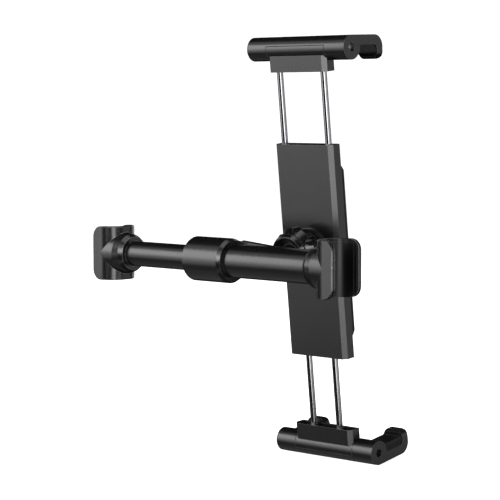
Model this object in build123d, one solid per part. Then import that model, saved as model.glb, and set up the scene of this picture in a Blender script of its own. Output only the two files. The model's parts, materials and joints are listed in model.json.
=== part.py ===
from build123d import *
import os
from math import asin, cos, degrees, radians, sin, sqrt

# Tablet holder that hangs between the two posts of a car seat's headrest.
# A telescopic arm ends in two rubber-lined hooks that grip the posts. A ball joint
# behind the arm carries a long clamp body, and two claws on steel rods slide out of it
# and fold flat. All sizes are in millimetres.
# Frame: origin on the right post's axis at the arm's height, +X along the arm from the
# left post to the right one, +Y from the arm towards the tablet, +Z up along the posts.

# Fits and clearances
slide_gap = 0.04          # radial gap of a sliding tube or rod in its guide
turn_gap = 0.08           # radial gap of a turning pair, such as a pin in its bore
seat_gap = 0.05           # radial gap of a fixed pair, such as a tube in its socket
free_gap = 0.3            # gap between curved or flat faces of different moving bodies
past = 1.0                # how far a cutting shape runs past what it cuts

# Hooks
post_spacing = 171.6      # between the two posts' axes, with the arm as stored
post_seat_r = 7.8         # radius of the rubber channel, the thickest post it takes
liner_wall = 1.5
liner_border = 1.8        # plain margin round the liner's raised field
liner_step = 0.4          # height of that raised field
liner_recess = 0.5        # flange's free edge to the liner
hook_wall = 2.4
hook_lip = 3.8            # flanges past the post's axis
hook_height = 30.2
hook_corner_r = 9.9       # outer corner between flange and web
flange_corner_r = 5.9     # rounded free corners of the flanges
boss_inset = 0.05         # boss radius under half the hook's width
boss_length = 6.5         # boss beyond the web
boss_end_r = 9.35         # its small end, where the tube goes in
boss_cone = 2.5           # length of the steep cone at that end
boss_cone_r = 10.8        # where the steep cone ends
rim_chamfer = 0.45        # all round both flanges
socket_depth = 4.4        # how far a tube goes into a boss

# Telescopic arm
outer_tube_r = 9.0
inner_tube_r = 7.0
inner_tube_bore_r = 5.5
outer_tube_end_wall = 7.0  # solid right end of the outer tube
inner_tube_out = 49.4     # inner tube in sight between the left boss and the collar
inner_tube_engaged = 39.0  # inner tube inside the collar and the outer tube
glide_flange = 4.0        # length of the plastic glide at the inner tube's end
glide_shank = 8.0
glide_chamfer = 0.6
insert_length = 9.0       # threaded plug in the inner tube's left end

# Lock collar
collar_r = 12.1
collar_length = 28.4
collar_face_chamfer = 1.1
collar_face_chamfer_length = 2.1
collar_end_chamfer = 0.8
collet_offset = 2.4       # collar's left end to the collet's small end
collet_length = 8.0
collet_wall = 0.9         # at the small end
collet_taper = 1.0        # radius gained along the collet
collet_slot = 1.2
snap_ring_offset = 6.5    # collar's right end to the snap ring
snap_ring_width = 1.0
snap_ring_depth = 0.6     # of the groove in the outer tube
snap_ring_height = 0.7    # ring above the tube's surface

# Fairing behind the outer tube, which carries the ball
ball_from_post = 51.1     # ball's centre to the right post's axis, along X
fairing_start_y = 2.0
fairing_y = 9.8           # its flat rear face
fairing_end_past_ball = 12.0
fairing_high_z = 10.8     # top at the collar end
fairing_low_z = 8.7       # top at the ball end
fairing_bottom_z = 8.8
fairing_edge_r = 2.5
recess_from_ball = 22.0   # small oblong recess in the fairing's top
recess_length = 7.5
recess_width = 2.4
recess_depth = 0.8

# Ball joint
ball_r = 6.8
ball_y = 21.0             # ball's centre to the arm's axis
ball_z = 3.2              # ball's centre over the arm's axis
ball_neck_r = 3.4
stem_boss_r = 5.2         # raised round seat on the fairing
stem_boss_height = 0.8
stem_flange_r = 4.8
stem_flange_height = 1.3
stem_shank_r = 2.6
stem_shank_length = 3.0
seat_wall = 1.0           # spherical friction liner on the ball
seat_mouth_v = 3.2        # liner's open edge, in front of the ball's centre
seat_back_v = 5.1
socket_wall = 1.3         # round the liner's sphere
socket_nose_v = 4.0
socket_slots = 6
socket_slot_width = 1.3
neck_wall = 1.5
neck_front_v = 0.5        # front edge of the back cover's neck, behind the ball's centre
nut_face_v = 6.3          # nut's front face, in front of the ball's centre
nut_rim_r = 10.8          # bright front edge
nut_collar_r = 12.2       # widest place of the plain front collar
nut_collar_length = 1.8
nut_dish_r = 10.2         # inner edge of the nut's flat front ring
nut_mouth_r = 8.2
nut_dish_depth = 1.0
nut_lip = 2.0
nut_lobe_r = 14.7
nut_lobes = 8
nut_scallop_r = 2.7       # hollows between the lobes
nut_scallop_floor_r = 12.7
nut_groove_r = 11.9       # groove between the collar and the lobes
nut_lobe_start = 3.3      # front face to the lobes
nut_lobe_slope = 3.5      # length over which the lobes rise
nut_length = 12.1
nut_edge = 0.8
nut_turned = 11.0         # degrees, as the nut stands

# Clamp body, in its own frame: origin at the ball's centre, u along X, v away from the
# arm, w up. It leans back towards the arm by clamp_lean.
clamp_lean = 6.3          # degrees
back_v = 11.94            # clamp's back plane behind the ball's centre
body_width = 40.8
body_thickness = 7.34
body_chamfer = 2.2
body_length = 115.7       # half of it above the ball's centre
back_wall = 2.0
side_wall = 1.5
end_wall = 2.0
front_cover_thickness = 1.2
neck_base_r = 12.8        # round foot of the neck on the back cover
neck_base_height = 2.0
screw_post_r = 2.6
screw_post_root = 0.5     # screw post inside the back wall
screw_tip_gap = 0.4       # screw's tip to the end of its hole
cover_screw_r = 1.0
cover_screw_head_r = 1.9
cover_screw_length = 3.6
cover_screw_pitch = 26.0
pad_thickness = 2.4
pad_from_end = 12.0       # plain front cover left at each end of the pad
pad_side_inset = 0.4
pad_end_drop = 1.6        # slopes at the pad's ends
pad_end_run = 2.5

# Rods and their guides
rod_r = 1.75
rod_depth = 4.07          # rods' axis behind the back plane
rod_from_side = 4.8       # upper rods' axes to the body's sides
rod_pitch = 6.3           # an upper rod to the lower rod next to it
rod_tip_chamfer = 0.4
rod_head_r = 1.98
rod_head_length = 3.0
end_guide_length = 5.0
centre_guide_length = 12.0
jaw_stop_travel = 3.0     # travel left before the rod heads meet the centre guide
rod_in_block = 8.0

# Jaws
jaw_out = 50.8            # body's end to the claw's hinge axis
lower_jaw_further = 0.3   # lower jaw stands out this much further than the upper one
finger_side_gap = 1.25    # body's side to the finger beside it
barrel_r = 6.5
barrel_depth = 5.98       # hinge axis behind the back plane
block_reach = 12.1        # hinge axis to the block's end
block_proud = 0.35        # block's back face over the body's
block_wall = 1.6          # round the hollow in the block's end
block_hollow = 2.2        # depth of that hollow
rod_boss_wall = 1.1
block_step = 3.5          # hinge axis to the block's shoulder
core_r = 4.3              # knuckle core under the claw's shell
shell_gap = 0.4           # shell to core
shell_back_angle = 162.0  # seam behind the knuckle, from +v towards the outside
shell_front_angle = 14.0
knuckle_back_angle = 164.5
knuckle_front_angle = 281.0
knuckle_side_gap = 0.3
finger_reach = 25.1       # hinge axis to the lip's outer face
finger_width = 12.8
finger_plate = 5.3
finger_lip = 4.6
finger_dip = 4.2          # degrees, fingers closing on the tablet
finger_outer_r = 6.4
finger_tip_r = 1.6
finger_pocket_r = 2.4
lip_corner_r = 4.0        # rounded corners of the lip
finger_pad = 4.4          # rubber on the finger's plate
lip_pad = 1.2             # rubber on its lip
pad_bevel = 0.4
finger_pad_inset = 0.3    # pad's side to the finger's side
lip_pad_inset = 1.0       # lip's tip to its rubber
pivot_r = 1.5
pivot_head_r = 2.1
pivot_head_length = 1.3
pivot_socket_r = 1.15
pivot_socket_depth = 1.0
pivot_recess_r = 2.25
pivot_recess_depth = 2.9
pivot_in_core = 8.0

# Hook screws
hook_screw_r = 1.9
hook_screw_head_r = 3.6
hook_screw_head_length = 1.9
hook_screw_length = 9.5

# Places worked out from the sizes above
hook_half_width = post_seat_r + liner_wall + hook_wall
web_x = -hook_half_width
channel_x = web_x + hook_wall
boss_r = hook_half_width - boss_inset
boss_x = web_x - boss_length
liner_x = hook_lip - liner_recess
ball_x = -ball_from_post
left_post_x = -post_spacing
left_boss_x = left_post_x - boss_x
collar_left_x = left_boss_x + inner_tube_out
collar_right_x = collar_left_x + collar_length
inner_tube_left_x = left_boss_x - socket_depth
inner_tube_right_x = collar_left_x + inner_tube_engaged
outer_tube_right_x = boss_x + socket_depth
collet_left_x = collar_left_x + collet_offset
outer_tube_left_x = collet_left_x + collet_length
bore_r = inner_tube_r + slide_gap
snap_ring_x = collar_right_x - snap_ring_offset
cavity_front_v = back_v + body_thickness - front_cover_thickness
cavity_back_v = back_v + back_wall
end_w = body_length / 2
upper_rod_spacing = body_width - 2 * rod_from_side
lower_rod_spacing = upper_rod_spacing - 2 * rod_pitch
claw_length = body_width + 2 * (finger_side_gap + finger_width)
rod_v = back_v + rod_depth
barrel_v = back_v + barrel_depth
seat_inner_r = ball_r + free_gap
seat_outer_r = seat_inner_r + seat_wall
socket_inner_r = seat_outer_r + free_gap
socket_r = socket_inner_r + socket_wall
neck_bore_r = socket_r + turn_gap
neck_r = neck_bore_r + neck_wall
ball_place = Pos(ball_x, 0, ball_z)
clamp_frame = Pos(ball_x, ball_y, ball_z) * Rot(X=clamp_lean)


def turned(stations):
    """Solid of revolution about X from its half profile, given as (x, radius) stations."""
    outline = [(stations[0][0], 0), *stations, (stations[-1][0], 0)]
    return revolve(make_face(Polyline(*outline, close=True)), Axis.X)


def bar(start, end, radius):
    """Plain cylinder about X."""
    return turned([(start, radius), (end, radius)])


def about_y(shape):
    """Turns a shape built about X so that its axis is Y."""
    return Rot(Z=90) * shape


def about_z(shape):
    """Turns a shape built about X so that its axis is Z."""
    return Rot(Y=-90) * shape


def block(low, high):
    """Box between two corners."""
    size = [b - a for a, b in zip(low, high)]
    centre = [(a + b) / 2 for a, b in zip(low, high)]
    return Pos(*centre) * Box(*size)


def write(shape, name):
    """One solid or group of solids to its own file."""
    os.makedirs("parts", exist_ok=True)
    export_step(shape, f"parts/{name}.step")


# Hooks, built about the post's axis with the channel open to +X

def channel(half_width, closed_x, open_x, corner_r, height):
    """Upright slab with two rounded corners on its closed side."""
    outline = Pos((closed_x + open_x) / 2, 0) * Rectangle(open_x - closed_x, 2 * half_width)
    corners = outline.vertices().sort_by(Axis.X)[:2]
    return extrude(fillet(corners, corner_r), height / 2, both=True)


def flange_outline(free_x):
    """Block that rounds the free corners of both flanges, or of the liner."""
    width = free_x - 2 * web_x
    outline = Pos(free_x - width / 2, 0) * Rectangle(width, hook_height)
    corners = outline.vertices().sort_by(Axis.X)[-2:]
    return extrude(Plane.XZ * fillet(corners, flange_corner_r), 2 * hook_half_width, both=True)


def on_rim(edge):
    """Whether an edge of the hook's slab runs along its rim, not across its faces."""
    direction = edge.tangent_at(0.5)
    middle = edge.position_at(0.5)
    if abs(direction.Y) > 0.99:
        return abs(middle.X - web_x) < free_gap
    if abs(direction.Z) > 0.99:
        return abs(middle.X - hook_lip) < free_gap
    return True


def hook(tube_r):
    """Channel with a tapered round boss that takes a tube of the given radius."""
    body = channel(hook_half_width, web_x, hook_lip, hook_corner_r, hook_height)
    body &= flange_outline(hook_lip)
    body = chamfer([edge for edge in body.edges() if on_rim(edge)], rim_chamfer)
    body += turned([
        (boss_x, boss_end_r),
        (boss_x + boss_cone, boss_cone_r),
        (web_x, boss_r),
        (web_x + hook_corner_r, boss_r),
    ])
    inner_half = hook_half_width - hook_wall
    body -= channel(inner_half, channel_x, 2 * hook_lip, hook_corner_r - hook_wall, 2 * hook_height)
    body -= bar(boss_x - past, boss_x + socket_depth, tube_r + seat_gap)
    body -= bar(boss_x, channel_x + past, hook_screw_r + seat_gap)
    body -= turned([
        (channel_x - hook_screw_head_length, hook_screw_r + seat_gap),
        (channel_x, hook_screw_head_r + seat_gap),
        (channel_x + past, hook_screw_head_r + seat_gap),
    ])
    return body


def hook_liner():
    """Rubber channel with a raised field in a plain margin."""
    margin_r = post_seat_r + liner_step
    inner_half = hook_half_width - hook_wall
    body = channel(inner_half, channel_x, liner_x, hook_corner_r - hook_wall, hook_height)
    post_way = extrude(Circle(margin_r) + Pos(liner_x, 0) * Rectangle(2 * liner_x, 2 * margin_r),
                       hook_height, both=True)
    body -= post_way
    field_r = margin_r + seat_gap
    field_height = hook_height - 2 * liner_border
    field_x = liner_x - liner_border
    field = extrude(Circle(field_r), field_height / 2, both=True)
    field += block((0, -field_r, -field_height / 2), (field_x, field_r, field_height / 2))
    field -= extrude(Circle(post_seat_r), hook_height, both=True)
    field -= block((0, -post_seat_r, -hook_height), (2 * hook_lip, post_seat_r, hook_height))
    field &= block((channel_x, -field_r, -hook_height), (field_x, field_r, hook_height))
    body += field
    return body & flange_outline(liner_x)


def hook_screw():
    """Countersunk screw from the channel into the tube's end."""
    return turned([
        (channel_x - hook_screw_length, hook_screw_r),
        (channel_x - hook_screw_head_length, hook_screw_r),
        (channel_x, hook_screw_head_r),
    ])


def left_side(shape):
    """A right-hand piece mirrored to the left post."""
    return Pos(left_post_x, 0, 0) * mirror(shape, Plane.YZ)


# Telescopic arm

def fairing():
    """Rear housing that falls from the collar to the ball and carries the ball's seat."""
    start = collar_right_x + free_gap
    end = ball_x + fairing_end_past_ball
    side = make_face(Polyline(
        (start, -fairing_bottom_z), (end, -fairing_bottom_z), (end, fairing_low_z),
        (ball_x, fairing_low_z), (start, fairing_high_z), close=True,
    ))
    body = Pos(0, fairing_start_y, 0) * extrude(Plane.XZ * side, -(fairing_y - fairing_start_y))
    rear = body.faces().sort_by(Axis.Y)[-1]
    body = fillet(rear.edges().filter_by(Axis.X, reverse=True).sort_by(Axis.X)[-1:], fairing_edge_r)
    rear = body.faces().filter_by(Axis.Y).sort_by(Axis.Y)[-1]
    long_edges = [edge for edge in rear.edges() if abs(edge.tangent_at(0).X) > 0.9]
    body = fillet(long_edges, fairing_edge_r)
    top_y = fairing_start_y + (fairing_y - fairing_start_y - fairing_edge_r) / 2
    slope = (fairing_high_z - fairing_low_z) / (ball_x - start)
    recess_x = ball_x - recess_from_ball
    recess_z = fairing_low_z + slope * recess_from_ball
    recess = extrude(SlotOverall(recess_length, recess_width), recess_depth, both=True)
    body -= Pos(recess_x, top_y, recess_z) * Rot(Y=degrees(asin(slope))) * recess
    seat = about_y(bar(fairing_start_y, fairing_y + stem_boss_height, stem_boss_r))
    return body + ball_place * seat


def outer_tube():
    """Right-hand arm: tube, fairing, snap ring groove and the ball stem's hole."""
    body = bar(outer_tube_left_x, outer_tube_right_x, outer_tube_r)
    body += fairing()
    body -= bar(outer_tube_left_x - past, outer_tube_right_x - outer_tube_end_wall, bore_r)
    groove = bar(snap_ring_x - seat_gap, snap_ring_x + snap_ring_width + seat_gap, 2 * outer_tube_r)
    groove -= bar(snap_ring_x - past, snap_ring_x + snap_ring_width + past, outer_tube_r - snap_ring_depth)
    body -= groove
    screw_start = outer_tube_right_x - hook_screw_length
    body -= bar(screw_start, outer_tube_right_x + past, hook_screw_r + seat_gap)
    shank_start = fairing_y + stem_boss_height - stem_shank_length
    body -= ball_place * about_y(bar(shank_start, ball_y, stem_shank_r + seat_gap))
    return body


def snap_ring():
    """Open ring that holds the lock collar on the outer tube."""
    inner_r = outer_tube_r - snap_ring_depth + seat_gap
    ring = bar(snap_ring_x, snap_ring_x + snap_ring_width, outer_tube_r + snap_ring_height)
    ring -= bar(snap_ring_x - past, snap_ring_x + snap_ring_width + past, inner_r)
    gap = 2 * snap_ring_depth
    return ring - block((snap_ring_x - past, -gap, -collar_r), (snap_ring_x + 2 * snap_ring_width, gap, 0))


def collet():
    """Slit cone ring that the lock collar squeezes on the inner tube."""
    small_r = bore_r + collet_wall
    body = turned([(collet_left_x, small_r), (outer_tube_left_x, small_r + collet_taper)])
    body -= bar(collet_left_x - past, outer_tube_left_x + past, bore_r)
    slot = block((collet_left_x - past, -collet_slot / 2, 0),
                 (outer_tube_left_x - collet_wall, collet_slot / 2, collar_r))
    for angle in (0, 90, 180, 270):
        body -= Rot(X=angle) * slot
    return body


def lock_collar():
    """Turning sleeve over the collet and the end of the outer tube."""
    body = turned([
        (collar_left_x, collar_r - collar_end_chamfer),
        (collar_left_x + collar_end_chamfer, collar_r),
        (collar_right_x - collar_face_chamfer_length, collar_r),
        (collar_right_x, collar_r - collar_face_chamfer),
    ])
    small_r = bore_r + collet_wall + free_gap
    body -= bar(outer_tube_left_x, collar_right_x + past, outer_tube_r + turn_gap)
    body -= turned([
        (collet_left_x - free_gap, small_r),
        (outer_tube_left_x + free_gap, small_r + collet_taper),
    ])
    body -= bar(collar_left_x - past, collet_left_x, bore_r + free_gap)
    groove_r = outer_tube_r + snap_ring_height + free_gap
    body -= bar(snap_ring_x - free_gap, snap_ring_x + snap_ring_width + free_gap, groove_r)
    return body


def inner_tube():
    """Left-hand arm, a plain tube."""
    body = bar(inner_tube_left_x, inner_tube_right_x - glide_flange, inner_tube_r)
    return body - bar(inner_tube_left_x - past, inner_tube_right_x, inner_tube_bore_r)


def inner_glide():
    """Plastic plug whose flange runs in the outer tube."""
    flange_x = inner_tube_right_x - glide_flange
    shank_r = inner_tube_bore_r - seat_gap
    body = turned([
        (flange_x - glide_shank, shank_r), (flange_x, shank_r),
        (flange_x, inner_tube_r), (inner_tube_right_x - glide_chamfer, inner_tube_r),
        (inner_tube_right_x, inner_tube_r - glide_chamfer),
    ])
    return body - bar(flange_x - glide_shank - past, inner_tube_right_x + past, shank_r / 2)


def tube_insert():
    """Threaded plug in the inner tube's left end."""
    end = inner_tube_left_x + insert_length
    body = bar(inner_tube_left_x, end, inner_tube_bore_r - seat_gap)
    return body - bar(inner_tube_left_x - past, end + past, hook_screw_r + seat_gap)


# Ball joint: the stem in the arm's frame, the rest about the clamp's v axis

def ball_stem():
    """Ball on a short neck with a flange and a threaded shank."""
    seat_y = fairing_y + stem_boss_height
    flange_y = seat_y + stem_flange_height
    stem = turned([
        (seat_y - stem_shank_length, stem_shank_r), (seat_y, stem_shank_r),
        (seat_y, stem_flange_r), (flange_y, stem_flange_r),
        (flange_y, ball_neck_r), (ball_y, ball_neck_r),
    ])
    return ball_place * (about_y(stem) + Pos(0, ball_y, 0) * Sphere(ball_r))


def slice_v(low, high, radius):
    """Disc about v between two depths."""
    return about_y(bar(low, high, radius))


def ball_seat():
    """Thin spherical liner on the ball."""
    shell = Sphere(seat_outer_r) & slice_v(-seat_mouth_v, seat_back_v, 2 * ball_r)
    return shell - Sphere(seat_inner_r)


def ball_socket():
    """Slotted cup round the liner that the lock nut closes."""
    body = slice_v(-socket_nose_v, socket_r, socket_r)
    body -= Sphere(socket_inner_r)
    mouth_r = sqrt(socket_inner_r**2 - seat_mouth_v**2)
    body -= slice_v(-socket_nose_v - past, 0, mouth_r)
    half_slot = socket_slot_width / 2
    slot = block((0, -socket_nose_v - past, -half_slot), (2 * socket_r, seat_back_v, half_slot))
    for index in range(socket_slots):
        body -= Rot(Y=360 * index / socket_slots) * slot
    return body


def lock_nut():
    """Nut with a plain front collar, a row of lobes behind it and a dished mouth."""
    front = -nut_face_v
    back = front + nut_length
    lobes_v = front + nut_lobe_start
    collar_v = front + nut_collar_length
    body = about_y(turned([
        (front, nut_rim_r), (collar_v, nut_collar_r),
        (lobes_v, nut_groove_r), (lobes_v + nut_lobe_slope, nut_lobe_r),
        (back - nut_edge, nut_lobe_r), (back, nut_lobe_r - nut_edge),
    ]))
    scallop = slice_v(collar_v, back + past, nut_scallop_r)
    scallop_centre_r = nut_scallop_floor_r + nut_scallop_r
    for index in range(nut_lobes):
        angle = nut_turned + 360 * (index + 0.5) / nut_lobes
        body -= Rot(Y=-angle) * Pos(scallop_centre_r, 0, 0) * scallop
    cup_r = socket_r + free_gap
    thread_r = neck_r + turn_gap
    thread_v = neck_front_v - free_gap
    body -= about_y(turned([
        (front - past, nut_dish_r), (front, nut_dish_r),
        (front + nut_dish_depth, nut_mouth_r), (front + nut_lip, nut_mouth_r),
        (front + nut_lip, cup_r), (thread_v, cup_r),
        (thread_v, thread_r), (back + past, thread_r),
    ]))
    return body


# Clamp body

def body_bar(low, high, proud=0):
    """Bar with the clamp's section, chamfered along its two back edges."""
    half = body_width / 2
    back = back_v - proud
    front = back_v + body_thickness
    section = make_face(Polyline(
        (half, front), (-half, front), (-half, back + body_chamfer),
        (-half + body_chamfer, back), (half - body_chamfer, back), (half, back + body_chamfer),
        close=True,
    ))
    return Pos(0, 0, low) * extrude(section, high - low)


def cover_screw_places():
    """Heights of the screw posts on the body's centre line."""
    return [step * cover_screw_pitch for step in (-1.5, -0.5, 0.5, 1.5)]


def rod_places(spacing):
    """Both sides of a pair of rods."""
    return (-spacing / 2, spacing / 2)


def rod_holes(spacing, low, high, radius):
    """Pair of round ways along w."""
    pair = [Pos(side, rod_v, 0) * about_z(bar(low, high, radius)) for side in rod_places(spacing)]
    return pair[0] + pair[1]


def back_cover():
    """Main shell of the clamp with the ball joint's neck."""
    half = body_width / 2 - side_wall
    inner_end = end_w - end_wall
    body = body_bar(-end_w, end_w)
    body -= block((-half, cavity_back_v, -inner_end), (half, back_v + body_thickness + past, inner_end))
    for height in cover_screw_places():
        place = Pos(0, 0, height)
        body += place * slice_v(cavity_back_v - screw_post_root, cavity_front_v, screw_post_r)
        hole_start = cavity_front_v - cover_screw_length
        body -= place * slice_v(hole_start, cavity_front_v + past, cover_screw_r + seat_gap)
    body -= rod_holes(upper_rod_spacing, inner_end - past, end_w + past, rod_r + free_gap)
    body -= rod_holes(lower_rod_spacing, -end_w - past, past - inner_end, rod_r + free_gap)
    body += slice_v(back_v - neck_base_height, back_v + back_wall / 2, neck_base_r)
    body += slice_v(neck_front_v, back_v, neck_r)
    body -= slice_v(neck_front_v - past, socket_r + free_gap, neck_bore_r)
    return body


def front_cover():
    """Plate let into the shell's open front."""
    half = body_width / 2 - side_wall - seat_gap
    front_v = back_v + body_thickness
    end = end_w - end_wall - seat_gap
    body = block((-half, cavity_front_v, -end), (half, front_v, end))
    head_depth = cover_screw_head_r - cover_screw_r
    for height in cover_screw_places():
        body -= Pos(0, 0, height) * slice_v(cavity_front_v - past, front_v + past, cover_screw_r + seat_gap)
        body -= Pos(0, 0, height) * about_y(turned([
            (front_v - head_depth, cover_screw_r + seat_gap),
            (front_v, cover_screw_head_r + seat_gap), (front_v + past, cover_screw_head_r + seat_gap),
        ]))
    return body


def cover_screws():
    """Four countersunk screws under the pad."""
    front_v = back_v + body_thickness
    screw = about_y(turned([
        (cavity_front_v - cover_screw_length + screw_tip_gap, cover_screw_r),
        (front_v - (cover_screw_head_r - cover_screw_r), cover_screw_r),
        (front_v, cover_screw_head_r),
    ]))
    return Compound(children=[Pos(0, 0, height) * screw for height in cover_screw_places()])


def front_pad():
    """Silicone pad that the tablet's back rests on."""
    half = body_width / 2 - pad_side_inset
    front_v = back_v + body_thickness
    end = end_w - pad_from_end
    pad = block((-half, front_v, -end), (half, front_v + pad_thickness, end))
    face = pad.faces().sort_by(Axis.Y)[-1]
    return chamfer(face.edges().filter_by(Axis.X), pad_end_run, pad_end_drop, reference=face)


def rod_guide(low, high, *spacings):
    """Plastic guide across the clamp's cavity, with a bore for each rod."""
    half = body_width / 2 - side_wall - seat_gap
    body = block((-half, cavity_back_v, low), (half, cavity_front_v, high))
    for spacing in spacings:
        body -= rod_holes(spacing, low - past, high + past, rod_r + slide_gap)
    return body


# Jaws. The upper one is built first; the lower one is its mirror image in w.

def ring_sector(inner_r, outer_r, start_angle, end_angle, half_length):
    """Part of a tube about X, between two angles measured from +v towards +w."""
    far = 2 * outer_r
    corners = [(0, 0)]
    for angle in (start_angle, (start_angle + end_angle) / 2, end_angle):
        corners.append((far * cos(radians(angle)), far * sin(radians(angle))))
    ring = make_face(Polyline(*corners, close=True)) & Circle(outer_r)
    if inner_r > 0:
        ring -= Circle(inner_r)
    return extrude(Plane.YZ * ring, half_length, both=True)


def block_hollows(spacing):
    """Hollow in the block's end, round a boss for each rod."""
    half = body_width / 2 - block_wall
    back = back_v - block_proud + block_wall
    front = back_v + body_thickness - block_wall
    hollow = block((-half, back, -block_reach - past), (half, front, block_hollow - block_reach))
    for side in rod_places(spacing):
        boss = about_z(bar(-block_reach - past, block_hollow - block_reach, rod_r + rod_boss_wall))
        hollow -= Pos(side, rod_v, 0) * boss
    return hollow


def jaw_block(spacing):
    """Block on the rods' ends with the claw's hinge knuckle, hinge axis at the origin."""
    body = body_bar(-block_reach, -block_step, block_proud) - block_hollows(spacing)
    for side in rod_places(spacing):
        hole = about_z(bar(-block_reach - past, rod_in_block - block_reach, rod_r + seat_gap))
        body -= Pos(side, rod_v, 0) * hole
    body = Pos(0, -barrel_v, 0) * body
    half = body_width / 2
    knuckle = bar(-half, half, core_r)
    knuckle += ring_sector(0, barrel_r, knuckle_back_angle, knuckle_front_angle, half)
    hole_r = rod_r + seat_gap
    for side in rod_places(spacing):
        tip = about_z(bar(-block_reach, rod_in_block - block_reach, hole_r))
        knuckle -= Pos(side, rod_v - barrel_v, 0) * tip
    body += knuckle
    for side in (-1, 1):
        screw_end = half - pivot_in_core - screw_tip_gap
        body -= bar(side * screw_end, side * (half + past), pivot_r + seat_gap)
    return body


def lip_outline(half_width, tip_z, corner_r):
    """Upright tongue with two rounded corners at its tip, as deep as a finger reaches."""
    outline = Pos(0, tip_z + barrel_r) * Rectangle(2 * half_width, 2 * barrel_r)
    corners = outline.vertices().sort_by(Axis.Y)[:2]
    return extrude(Plane.XZ * fillet(corners, corner_r), -finger_reach)


def finger(side):
    """J-shaped finger on one end of the claw, with its pad's pocket left open."""
    outline = make_face(Polyline(
        (0, barrel_r), (finger_reach, barrel_r), (finger_reach, -barrel_r),
        (finger_reach - finger_lip, -barrel_r),
        (finger_reach - finger_lip, barrel_r - finger_plate),
        (0, barrel_r - finger_plate), close=True,
    ))
    corner = outline.vertices()
    outer = corner.sort_by(Axis.X)[-2:].sort_by(Axis.Y)[-1]
    outline = fillet(outer, finger_outer_r)
    tips = outline.vertices().sort_by(Axis.Y)[:2]
    outline = fillet(tips.sort_by(Axis.X)[-1], finger_tip_r)
    pocket = outline.vertices().sort_by_distance((finger_reach - finger_lip, barrel_r - finger_plate))[0]
    outline = fillet(pocket, finger_pocket_r)
    start = side * (claw_length / 2 - finger_width / 2)
    body = extrude(Plane.YZ * outline, finger_width / 2, both=True)
    return Pos(start, 0, 0) * (body & lip_outline(finger_width / 2, -barrel_r, lip_corner_r))


def claw():
    """Both fingers in one piece with their hinge barrels and the shell over the knuckle."""
    knuckle = body_width / 2 + knuckle_side_gap
    end = claw_length / 2
    body = ring_sector(core_r + shell_gap, barrel_r, shell_front_angle, shell_back_angle, end)
    for side in (-1, 1):
        body += bar(side * knuckle, side * end, barrel_r)
        body += Rot(X=-finger_dip) * finger(side)
        body -= bar(side * (end - pivot_recess_depth), side * (end + past), pivot_recess_r)
        body -= bar(side * (knuckle - past), side * end, pivot_r + turn_gap)
    return body


def claw_pad(side):
    """Rubber block in a finger's pocket, thick on the plate and thin on the lip."""
    plate_z = barrel_r - finger_plate
    floor_z = plate_z - finger_pad
    tip_z = lip_pad_inset - barrel_r
    lip_y = finger_reach - finger_lip
    start_y = barrel_r + free_gap
    outline = make_face(Polyline(
        (start_y, plate_z), (lip_y - finger_pocket_r, plate_z),
        (lip_y, plate_z - finger_pocket_r), (lip_y, tip_z),
        (lip_y - lip_pad + pad_bevel, tip_z), (lip_y - lip_pad, tip_z + pad_bevel),
        (lip_y - lip_pad, floor_z - pad_bevel), (lip_y - lip_pad - pad_bevel, floor_z),
        (start_y + pad_bevel, floor_z), (start_y, floor_z + pad_bevel), close=True,
    ))
    start = side * (claw_length / 2 - finger_width / 2)
    half = finger_width / 2 - finger_pad_inset
    body = extrude(Plane.YZ * outline, half, both=True)
    body &= lip_outline(half, tip_z, lip_corner_r - finger_pad_inset)
    return Rot(X=-finger_dip) * Pos(start, 0, 0) * body


def pivot_screws():
    """Two shoulder screws that the claw turns on, with sockets in their heads."""
    half = body_width / 2
    head = claw_length / 2 - pivot_recess_depth
    face = head + pivot_head_length
    screws = []
    for side in (-1, 1):
        shape = bar(side * (half - pivot_in_core), side * head, pivot_r)
        shape += bar(side * head, side * face, pivot_head_r)
        shape -= bar(side * (face - pivot_socket_depth), side * (face + past), pivot_socket_r)
        screws.append(shape)
    return Compound(children=screws)


def rod(side, spacing):
    """Steel rod with a stop head inside the clamp, in the upper jaw's place."""
    top = end_w + jaw_out - block_reach + rod_in_block
    head_top = -centre_guide_length / 2 - jaw_stop_travel
    body = turned([
        (head_top - rod_head_length, rod_head_r), (head_top, rod_head_r),
        (head_top, rod_r), (top - rod_tip_chamfer, rod_r), (top, rod_r - rod_tip_chamfer),
    ])
    return Pos(side * spacing / 2, rod_v, 0) * about_z(body)


def upper(shape):
    """A jaw piece from its hinge axis to its place over the body."""
    return clamp_frame * Pos(0, barrel_v, end_w + jaw_out) * shape


def lower(shape):
    """The same piece mirrored to its place under the body."""
    axis_w = -end_w - jaw_out - lower_jaw_further
    return clamp_frame * Pos(0, barrel_v, axis_w) * mirror(shape, Plane.XY)


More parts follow.
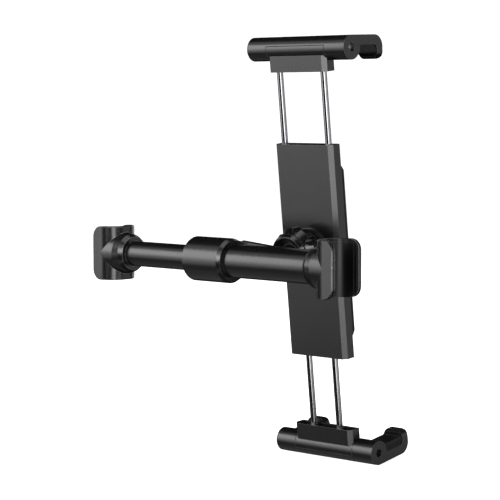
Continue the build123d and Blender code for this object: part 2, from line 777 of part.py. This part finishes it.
def main():
    # Arm
    write(outer_tube(), "outer_tube")
    write(snap_ring(), "collar_snap_ring")
    write(collet(), "arm_collet")
    write(lock_collar(), "lock_collar")
    write(inner_tube(), "inner_tube")
    write(inner_glide(), "inner_glide")
    write(tube_insert(), "tube_insert")
    write(hook(outer_tube_r), "right_hook")
    write(hook_liner(), "right_hook_liner")
    write(hook_screw(), "right_hook_screw")
    write(left_side(hook(inner_tube_r)), "left_hook")
    write(left_side(hook_liner()), "left_hook_liner")
    write(left_side(hook_screw()), "left_hook_screw")
    # Ball joint
    write(ball_stem(), "ball_stem")
    write(clamp_frame * ball_seat(), "ball_seat")
    write(clamp_frame * ball_socket(), "ball_socket")
    write(clamp_frame * lock_nut(), "lock_nut")
    # Clamp body
    write(clamp_frame * back_cover(), "back_cover")
    write(clamp_frame * front_cover(), "front_cover")
    write(clamp_frame * front_pad(), "front_pad")
    write(clamp_frame * cover_screws(), "cover_screws")
    guide_end = end_w - end_wall
    guide_start = guide_end - end_guide_length
    middle = centre_guide_length / 2
    write(clamp_frame * rod_guide(guide_start, guide_end, upper_rod_spacing), "top_guide")
    write(clamp_frame * rod_guide(-guide_end, -guide_start, lower_rod_spacing), "bottom_guide")
    centre = rod_guide(-middle, middle, upper_rod_spacing, lower_rod_spacing)
    write(clamp_frame * centre, "centre_guide")
    # Jaws
    for side, name in ((-1, "left"), (1, "right")):
        write(clamp_frame * rod(side, upper_rod_spacing), f"upper_rod_{name}")
        lower_rod = Pos(0, 0, -lower_jaw_further) * mirror(rod(side, lower_rod_spacing), Plane.XY)
        write(clamp_frame * lower_rod, f"lower_rod_{name}")
        write(upper(claw_pad(side)), f"upper_pad_{name}")
        write(lower(claw_pad(side)), f"lower_pad_{name}")
    for place, name, spacing in ((upper, "upper", upper_rod_spacing), (lower, "lower", lower_rod_spacing)):
        write(place(jaw_block(spacing)), f"{name}_jaw_block")
        write(place(claw()), f"{name}_claw")
        write(place(pivot_screws()), f"{name}_pivot_screws")


main()
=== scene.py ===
import json
import math

import bmesh
import bpy
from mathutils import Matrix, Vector


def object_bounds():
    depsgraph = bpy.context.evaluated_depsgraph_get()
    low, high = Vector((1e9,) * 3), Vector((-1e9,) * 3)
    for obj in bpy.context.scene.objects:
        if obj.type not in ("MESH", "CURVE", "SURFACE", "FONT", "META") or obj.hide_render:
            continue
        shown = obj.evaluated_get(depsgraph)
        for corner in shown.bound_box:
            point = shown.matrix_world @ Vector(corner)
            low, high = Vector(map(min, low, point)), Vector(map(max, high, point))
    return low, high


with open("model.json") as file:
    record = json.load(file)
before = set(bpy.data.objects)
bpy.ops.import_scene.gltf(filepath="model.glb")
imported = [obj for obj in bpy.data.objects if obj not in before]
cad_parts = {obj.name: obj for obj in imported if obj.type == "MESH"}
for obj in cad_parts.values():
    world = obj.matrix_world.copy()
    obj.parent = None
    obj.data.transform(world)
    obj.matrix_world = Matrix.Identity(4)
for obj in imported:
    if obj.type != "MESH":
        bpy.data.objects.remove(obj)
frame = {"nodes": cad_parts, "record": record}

cad_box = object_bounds()
nodes = frame["nodes"]
low, high = (Vector(corner) for corner in cad_box)
middle = (low + high) / 2
MM = 0.001


# Colour and materials

edge_round_mm = 0.12        # the mould leaves no edge quite sharp
handled_patch_mm = 22       # hands change the gloss slowly, over patches of about this size
haze_patch_mm = 9           # and so does the plating bath, over smaller ones
haze_spread = 0.3           # by this share of the metal's roughness
noise_low, noise_high = 0.3, 0.7        # nearly all of a noise lies between these
grain_strength = 0.35
line_strength = 0.25
line_stretch = 0.04         # a drawn line is about twenty-five times as long as it is wide
wear_and_highlight_begins, wear_and_highlight_full = 0.99, 0.80     # cosine between a face and the rounded edge laid over it


def colour(hex_value):
    """A colour given as sRGB hex, in the linear values that the shader wants."""
    channels = [int(hex_value[i:i + 2], 16) / 255 for i in (0, 2, 4)]
    return [c / 12.92 if c <= 0.04045 else ((c + 0.055) / 1.055) ** 2.4 for c in channels] + [1.0]


def add(owner, kind, settings=None, links=None):
    """Adds one node to a material or a world, with its settings and what feeds its inputs."""
    node = owner.node_tree.nodes.new("ShaderNode" + kind)
    for name, value in (settings or {}).items():
        if name in node.inputs:
            node.inputs[name].default_value = value
        else:
            setattr(node, name, value)
    for name, source in (links or {}).items():
        owner.node_tree.links.new(source, node.inputs[name])
    return node


def emptied(owner):
    """Switches a new material or world to nodes, and takes out the ones that it comes with."""
    owner.use_nodes = True
    owner.node_tree.nodes.clear()
    return owner


def moulded(name, body, edge_wear_and_highlight, grain_mm, grain_depth_mm, rough, rough_spread, ior,
            wear_and_highlight_edge_mm):
    """A moulded or coated skin: a grain, slow changes of gloss, and edges painted paler, partly
    as wear and, where the pale colour is strong, as a painted highlight.
    """
    skin = emptied(bpy.data.materials.new(name))
    place = add(skin, "TexCoord").outputs["Object"]
    grain = add(skin, "TexNoise", {"Scale": 1 / (grain_mm * MM), "Detail": 3.0, "Roughness": 0.6},
                {"Vector": place})
    handled = add(skin, "TexNoise",
                  {"Scale": 1 / (handled_patch_mm * MM), "Detail": 4.0, "Roughness": 0.55},
                  {"Vector": place}).outputs["Fac"]
    rounded = add(skin, "Bevel", {"Radius": edge_round_mm * MM, "samples": 6})
    lip = add(skin, "Bevel", {"Radius": wear_and_highlight_edge_mm * MM, "samples": 8})
    relief = add(skin, "Bump", {"Strength": grain_strength, "Distance": grain_depth_mm * MM},
                 {"Height": grain.outputs["Fac"], "Normal": rounded.outputs["Normal"]})
    flat = add(skin, "NewGeometry").outputs["Normal"]
    turned = add(skin, "VectorMath", {"operation": "DOT_PRODUCT"},
                 {0: lip.outputs["Normal"], 1: flat})
    # Pale edges: real wear, and on the hooks and the nut mostly a painted highlight along the
    # rims.
    on_edge = add(skin, "MapRange", {"From Min": wear_and_highlight_begins, "From Max": wear_and_highlight_full},
                  {"Value": turned.outputs["Value"]})
    wear_and_highlight_mask = add(skin, "Math", {"operation": "MULTIPLY"},
                 {0: on_edge.outputs["Result"], 1: handled})
    paint = add(skin, "Mix", {"data_type": "RGBA", "A": colour(body), "B": colour(edge_wear_and_highlight)},
                {"Factor": wear_and_highlight_mask.outputs["Value"]})
    gloss = add(skin, "MapRange",
                {"From Min": noise_low, "From Max": noise_high,
                 "To Min": rough - rough_spread, "To Max": rough + rough_spread},
                {"Value": handled})
    shader = add(skin, "BsdfPrincipled", {"IOR": ior},
                 {"Base Color": paint.outputs["Result"], "Roughness": gloss.outputs["Result"],
                  "Normal": relief.outputs["Normal"]})
    add(skin, "OutputMaterial", links={"Surface": shader.outputs["BSDF"]})
    return skin


def drawn_metal(name, bright, dull, rough, line_mm, line_depth_mm, along):
    """A plated metal, with the faint lines that drawing or turning leaves along one axis."""
    skin = emptied(bpy.data.materials.new(name))
    place = add(skin, "TexCoord").outputs["Object"]
    stretched = add(skin, "Mapping",
                    {"Scale": [line_stretch if axis == along else 1.0 for axis in range(3)]},
                    {"Vector": place})
    lines = add(skin, "TexNoise", {"Scale": 1 / (line_mm * MM), "Detail": 2.0},
                {"Vector": stretched.outputs["Vector"]})
    haze = add(skin, "TexNoise", {"Scale": 1 / (haze_patch_mm * MM), "Detail": 3.0},
               {"Vector": place}).outputs["Fac"]
    relief = add(skin, "Bump", {"Strength": line_strength, "Distance": line_depth_mm * MM},
                 {"Height": lines.outputs["Fac"]})
    tone = add(skin, "Mix", {"data_type": "RGBA", "A": colour(bright), "B": colour(dull)},
               {"Factor": haze})
    gloss = add(skin, "MapRange",
                {"From Min": noise_low, "From Max": noise_high,
                 "To Min": rough * (1 - haze_spread), "To Max": rough * (1 + haze_spread)},
                {"Value": haze})
    shader = add(skin, "BsdfPrincipled", {"Metallic": 1.0},
                 {"Base Color": tone.outputs["Result"], "Roughness": gloss.outputs["Result"],
                  "Normal": relief.outputs["Normal"]})
    add(skin, "OutputMaterial", links={"Surface": shader.outputs["BSDF"]})
    return skin


# The mould's grain is about a tenth of a millimetre, too fine to show in the render, so each
# moulded skin has one that is drawn near a millimetre.

# Glass-filled nylon, moulded against spark-eroded steel: a satin black with an even grain.
housing_black = moulded(
    "nylon_satin_moulded_black", body="0C0C0D", edge_wear_and_highlight="606062", grain_mm=0.9,
    grain_depth_mm=0.003, rough=0.26, rough_spread=0.02, ior=1.5, wear_and_highlight_edge_mm=0.3)

# The same nylon on the hooks, with a thin pale line painted round each flange: a painted
# highlight along the rims, partly wear.
hook_black = moulded(
    "nylon_satin_moulded_highlight_painted_rims", body="0C0C0D", edge_wear_and_highlight="B0B0B2", grain_mm=0.9,
    grain_depth_mm=0.003, rough=0.26, rough_spread=0.02, ior=1.5, wear_and_highlight_edge_mm=0.55)

# Aluminium tube under a baked satin lacquer: a shade deeper, with one soft stripe along the arm.
arm_black = moulded(
    "aluminium_satin_lacquered_black", body="0A0A0B", edge_wear_and_highlight="4C4C4E", grain_mm=1.2,
    grain_depth_mm=0.005, rough=0.28, rough_spread=0.02, ior=1.5, wear_and_highlight_edge_mm=0.3)

# Acetal, polished by its mould: the nut's deep black, with small clear glints on its lobes,
# partly from its gloss and partly painted as pale lines along their edges.
nut_black = moulded(
    "acetal_gloss_moulded_black", body="0B0B0C", edge_wear_and_highlight="98989A", grain_mm=1.4,
    grain_depth_mm=0.004, rough=0.18, rough_spread=0.03, ior=1.5, wear_and_highlight_edge_mm=0.35)

# Silicone rubber, moulded in smooth steel: the deepest black, with one broad soft highlight.
rubber_black = moulded(
    "silicone_rubber_satin_black", body="070707", edge_wear_and_highlight="303030", grain_mm=0.8,
    grain_depth_mm=0.008, rough=0.36, rough_spread=0.05, ior=1.33, wear_and_highlight_edge_mm=0.3)

# Blackened steel, turned: the ball and its neck, dark with a hard shine under the oxide.
stem_black = moulded(
    "steel_blackened_turned", body="101011", edge_wear_and_highlight="303032", grain_mm=0.9,
    grain_depth_mm=0.005, rough=0.22, rough_spread=0.03, ior=1.6, wear_and_highlight_edge_mm=0.2)

# Acetal guides, natural dark grey, as they leave the mould: duller than the covers round them.
guide_grey = moulded(
    "acetal_guide_moulded_grey", body="2A2A2B", edge_wear_and_highlight="484848", grain_mm=0.9,
    grain_depth_mm=0.015, rough=0.45, rough_spread=0.05, ior=1.48, wear_and_highlight_edge_mm=0.3)

# The die and the lathe leave lines of a few hundredths of a millimetre, too fine to show as
# well, so each metal has them at about a quarter of a millimetre.

# Cold-drawn steel under bright chrome: mirror stripes that follow the rod.
rod_chrome = drawn_metal(
    "steel_drawn_chrome_plated", bright="8C8D8F", dull="808183", rough=0.12,
    line_mm=0.25, line_depth_mm=0.0003, along=2)

# Screws of zinc-plated steel: pale grey with a soft shine.
screw_zinc = drawn_metal(
    "steel_screw_zinc_plated", bright="B9BABC", dull="8E9092", rough=0.28,
    line_mm=0.3, line_depth_mm=0.01, along=0)

# The lower pivot screws, blackened: seen only as a glint at the foot of their dark holes.
pivot_black = drawn_metal(
    "steel_screw_blackened", bright="5A5A5C", dull="3C3C3E", rough=0.22,
    line_mm=0.3, line_depth_mm=0.004, along=1)

finish_of_slot = {
    "moulded_black": housing_black,
    "arm_black": arm_black,
    "rubber_black": rubber_black,
    "rod_chrome": rod_chrome,
    "zinc_steel": screw_zinc,
    "stem_black": stem_black,
    "guide_plastic": guide_grey,
}
finish_of_piece = {
    "lock_nut": nut_black,
    "left_hook": hook_black,
    "right_hook": hook_black,
    "lower_pivot_screws": pivot_black,
}


def finish(name, material):
    """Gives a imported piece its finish, on its object's own slots."""
    piece = nodes[name]
    if not piece.data.materials:
        piece.data.materials.append(None)
    for slot in piece.material_slots:
        slot.link = "OBJECT"
        slot.material = material


slot_of = {part["node"]: part.get("material_slot") for part in frame["record"]["subparts"]}
for name in nodes:
    by_slot = finish_of_slot.get(slot_of.get(name), housing_black)
    finish(name, finish_of_piece.get(name, by_slot))


# Floor, light and camera

floor_gap = 0.0005          # the floor lies just under the lower claw
floor_radius = 4.0
floor_bend = 1.0            # radius of the curve from floor to backdrop
backdrop_height = 4.0
board_patch_mm = 170        # the roller's slow unevenness
bend_steps = 12
turn_steps = 96
weld_distance = 1e-5
lamp_distance = 1.6


def painted_board(name, hex_value, glow):
    """Painted board: flat and matt, and lit through from behind so that it stays near white."""
    skin = emptied(bpy.data.materials.new(name))
    place = add(skin, "TexCoord").outputs["Object"]
    mottle = add(skin, "TexNoise", {"Scale": 1 / (board_patch_mm * MM), "Detail": 3.0},
                 {"Vector": place})
    gloss = add(skin, "MapRange", {"To Min": 0.85, "To Max": 0.95},
                {"Value": mottle.outputs["Fac"]})
    shader = add(skin, "BsdfPrincipled",
                 {"Base Color": colour(hex_value), "Specular IOR Level": 0.0,
                  "Emission Color": colour("FFFFFF"), "Emission Strength": glow},
                 {"Roughness": gloss.outputs["Result"]})
    add(skin, "OutputMaterial", links={"Surface": shader.outputs["BSDF"]})
    return skin


def sweep(name, floor_z):
    """A floor that curves up into a backdrop all round, as a turned bowl: no edge shows."""
    profile = [(0.0, 0.0), (floor_radius - floor_bend, 0.0)]
    for step in range(1, bend_steps + 1):
        turn = step / bend_steps * math.pi / 2
        profile.append((floor_radius - floor_bend + floor_bend * math.sin(turn),
                        floor_bend - floor_bend * math.cos(turn)))
    profile.append((floor_radius, backdrop_height))
    form = bmesh.new()
    points = [form.verts.new((r, 0, z)) for r, z in profile]
    for a, b in zip(points, points[1:]):
        form.edges.new((a, b))
    bmesh.ops.spin(form, geom=form.verts[:] + form.edges[:], cent=(0, 0, 0), axis=(0, 0, 1),
                   angle=math.tau, steps=turn_steps)
    bmesh.ops.remove_doubles(form, verts=form.verts, dist=weld_distance)
    mesh = bpy.data.meshes.new(name)
    form.to_mesh(mesh)
    form.free()
    for face in mesh.polygons:
        face.use_smooth = True
    piece = bpy.data.objects.new(name, mesh)
    piece.location = (0, 0, floor_z)
    bpy.context.scene.collection.objects.link(piece)
    return piece


def softbox(name, azimuth, elevation, across, tall, brightness):
    """A rectangular studio lamp that faces the object: where it stands, how wide and how tall.

    All four are in degrees as the object sees them, and azimuth is counted from the front (−Y)
    towards +X."""
    a, e = math.radians(azimuth), math.radians(elevation)
    away = Vector((math.sin(a) * math.cos(e), -math.cos(a) * math.cos(e), math.sin(e)))
    lamp = bpy.data.lights.new(name, "AREA")
    lamp.shape = "RECTANGLE"
    lamp.size, lamp.size_y = (2 * lamp_distance * math.tan(math.radians(angle / 2))
                              for angle in (across, tall))
    lamp.energy = brightness * math.pi * lamp.size * lamp.size_y
    piece = bpy.data.objects.new(name, lamp)
    piece.location = middle + away * lamp_distance
    piece.rotation_euler = (-away).to_track_quat("-Z", "Y").to_euler()
    bpy.context.scene.collection.objects.link(piece)


def surroundings(name, bands, ahead_hex):
    """What the object mirrors, in grey bands by elevation. The camera sees ahead_hex instead."""
    world = emptied(bpy.data.worlds.new(name))
    direction = add(world, "TexCoord").outputs["Generated"]
    height = add(world, "SeparateXYZ", links={"Vector": direction}).outputs["Z"]
    share = add(world, "MapRange", {"From Min": -1.0}, {"Value": height})
    ramp = add(world, "ValToRGB", links={"Fac": share.outputs["Result"]})
    ramp.color_ramp.interpolation = "EASE"
    stops = ramp.color_ramp.elements
    stops.remove(stops[1])
    for elevation, grey in bands:
        position = math.sin(math.radians(elevation)) / 2 + 0.5
        stop = stops[0] if elevation == bands[0][0] else stops.new(position)
        stop.position = position
        stop.color = colour(grey)
    mirrored = add(world, "Background", links={"Color": ramp.outputs["Color"]})
    ahead = add(world, "Background", {"Color": colour(ahead_hex)})
    seen = add(world, "LightPath").outputs["Is Camera Ray"]
    either = add(world, "MixShader", links={"Fac": seen, 1: mirrored.outputs["Background"],
                                            2: ahead.outputs["Background"]})
    add(world, "OutputWorld", links={"Surface": either.outputs["Shader"]})
    bpy.context.scene.world = world


# The floor and backdrop are seen, but they light, mirror and shade nothing.
floor = sweep("floor", low.z - floor_gap)
floor.data.materials.append(painted_board("board_painted_pale", "F4F4F4", glow=1.0))
floor.visible_glossy = False
floor.visible_shadow = False
floor.visible_diffuse = False

# The left lamps give the arm, the flanges and the body's back their broad soft light. The front
# and centre ones draw the bevels, the barrels and the rings, and the right ones the far sides.
lamps = [
    # name, azimuth, elevation, across, tall, brightness
    ("left_wall", -50, 18, 30, 28, 4.6),
    ("left_heart", -50, 18, 16, 12, 2.5),
    ("left_spread", -50, 24, 44, 50, 0.8),
    ("left_low", -38, -2, 28, 12, 2.4),
    ("left_foot", -45, -13, 34, 10, 1.2),
    ("left_floor", -50, -31, 50, 20, 0.13),
    ("far_left_floor", -90, -50, 50, 22, 0.25),
    ("front", 54, -7, 26, 26, 4.6),
    ("front_heart", 54, -1, 16, 12, 5.0),
    ("front_high", 58, 24, 14, 14, 8.0),
    ("top", -18, 66, 26, 22, 1.0),
    ("centre", 10, 14, 12, 22, 14.0),
    ("centre_high", 6, 32, 16, 30, 3.2),
    ("under_left", -12, -44, 30, 16, 1.2),
    ("under_right", 70, -34, 40, 18, 3.0),
    ("right", 95, -2, 28, 28, 2.0),
    ("right_back", 132, 2, 26, 34, 0.9),
    ("behind", -170, 10, 44, 40, 1.4),
    ("overhead", 90, 82, 44, 44, 1.8),
    ("behind_left", -105, 10, 26, 30, 0.6),
]
for lamp in lamps:
    softbox(*lamp)

# Paler underfoot, as over a white table, and near black overhead.
grey_by_elevation = [(-88, "505050"), (-64, "444444"), (-46, "1C1C1C"), (0, "1C1C1C"),
                     (40, "121212"), (80, "0A0A0A")]
surroundings("studio", grey_by_elevation, ahead_hex="FFFFFF")
bpy.context.scene.view_settings.view_transform = "Standard"

# The photograph's viewpoint, worked out from the holder's straight edges.
lens_data = bpy.data.cameras.new("camera")
lens_data.sensor_width = 36.0
lens_data.lens = 140.1
camera = bpy.data.objects.new("camera", lens_data)
camera.location = (0.64422, -0.74636, 0.08255)
sight = Vector((-0.68641664, 0.72346272, -0.07371494))
camera.rotation_euler = sight.to_track_quat("-Z", "Y").to_euler()
bpy.context.scene.collection.objects.link(camera)
bpy.context.scene.camera = camera

bpy.context.view_layer.update()
